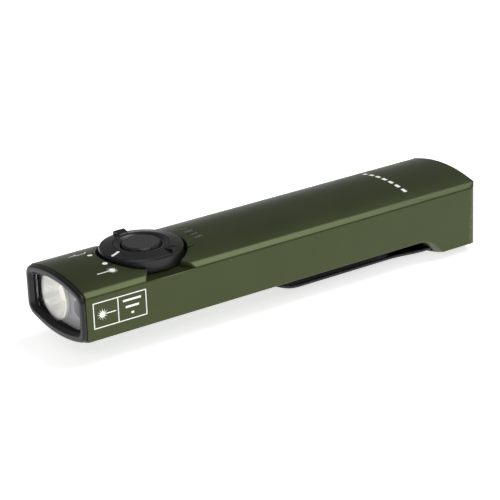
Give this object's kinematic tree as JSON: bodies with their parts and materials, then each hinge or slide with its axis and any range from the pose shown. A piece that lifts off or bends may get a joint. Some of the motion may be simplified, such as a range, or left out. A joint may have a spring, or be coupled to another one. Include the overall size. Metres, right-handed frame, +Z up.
{
  "type": "pocket flashlight",
  "caption": "Slim flat-bodied flashlight with a white lamp and a laser behind one window, a rotary selector round a push button, a sprung pocket clip and a tail charging port.",
  "frame": {"origin": "under the middle of the bounding box, level with the lowest line of the tail heel", "axes": "X along the body with the head and its window at -X and the charging port at +X; Z up through the selector dial; Y across"},
  "size_m": [0.1106, 0.025, 0.0208],
  "materials": {
    "olive_anodised": "fine satin anodised, dark olive",
    "black_anodised": "satin black anodised",
    "black_button": "satin black",
    "clear_glass": "clear, coated",
    "clear_acrylic": "clear moulded optic",
    "satin_grey": "satin grey",
    "bare_aluminium": "machined",
    "brass": "turned",
    "spring_steel": "drawn wire",
    "black_rubber": "matt",
    "green_board": "solder mask",
    "white_board": "white solder mask",
    "chip_black": "moulded",
    "led_phosphor": "phosphor under a clear dome",
    "nickel_plate": "nickel plated magnet",
    "gold_plate": "gold plated",
    "cell_wrap": "shrink wrap",
    "black_foam": "foam",
    "clip_black": "black coated spring steel",
    "screw_black": "black oxide",
    "red_lead": "silicone",
    "black_lead": "silicone",
    "milky_diffuser": "milky",
    "black_plastic": "moulded"
  },
  "bodies": {
    "body": {"body_shell": "olive_anodised", "front_bezel": "black_anodised", "window_gasket": "black_rubber", "window_glass": "clear_glass", "tir_optic": "clear_acrylic", "optic_plate": "satin_grey", "optic_carrier": "bare_aluminium", "led_board": "white_board", "led_emitter": "led_phosphor", "heat_sink": "bare_aluminium", "laser_barrel": "brass", "laser_lens": "clear_glass", "laser_diode": "gold_plate", "laser_board": "green_board", "ring_seal": "black_rubber", "laser_detent_magnet": "nickel_plate", "lamp_detent_magnet": "nickel_plate", "dial_hub": "black_anodised", "stem_seal": "black_rubber", "switch_housing": "black_plastic", "driver_board": "green_board", "control_chip": "chip_black", "power_inductor": "chip_black", "position_sensor": "chip_black", "light_guide": "milky_diffuser", "indicator_led_1": "white_board", "indicator_led_2": "white_board", "indicator_led_3": "white_board", "indicator_led_4": "white_board", "battery_cell": "cell_wrap", "battery_pad": "black_foam", "protection_board": "green_board", "battery_lead_positive": "red_lead", "battery_lead_negative": "black_lead", "charge_lead_positive": "red_lead", "charge_lead_negative": "black_lead", "charge_insulator": "black_plastic", "charge_ring_contact": "gold_plate", "charge_pin_contact": "gold_plate", "tail_seal": "black_rubber", "tail_magnet": "nickel_plate", "charge_board": "green_board", "clip_screw_near": "screw_black", "clip_screw_far": "screw_black"},
    "selector": {"selector_ring": "black_anodised", "ring_magnet": "nickel_plate"},
    "button": {"button_cap": "black_button", "switch_plunger": "black_plastic", "button_spring": "spring_steel"},
    "clip": {"pocket_clip": "clip_black"}
  },
  "joints": [
    {"name": "selector_turn", "type": "hinge", "parent": "body", "child": "selector", "pos_m": [-0.0323, 0, 0.018], "axis": [0, 0, 1], "range_deg": [-30, 0]},
    {"name": "button_press", "type": "slide", "parent": "body", "child": "button", "axis": [0, 0, -1], "range_m": [0, 0.0006], "stiffness_N_per_m": 2500, "springref_m": -0.0004, "deforming": ["button_spring"]},
    {"name": "clip_flex", "type": "hinge", "parent": "body", "child": "clip", "pos_m": [0.04449, 0, 0.00131], "axis": [0, 1, 0], "range_deg": [-2, 0], "stiffness_Nm_per_rad": 13, "springref_deg": 0.11}
  ]
}
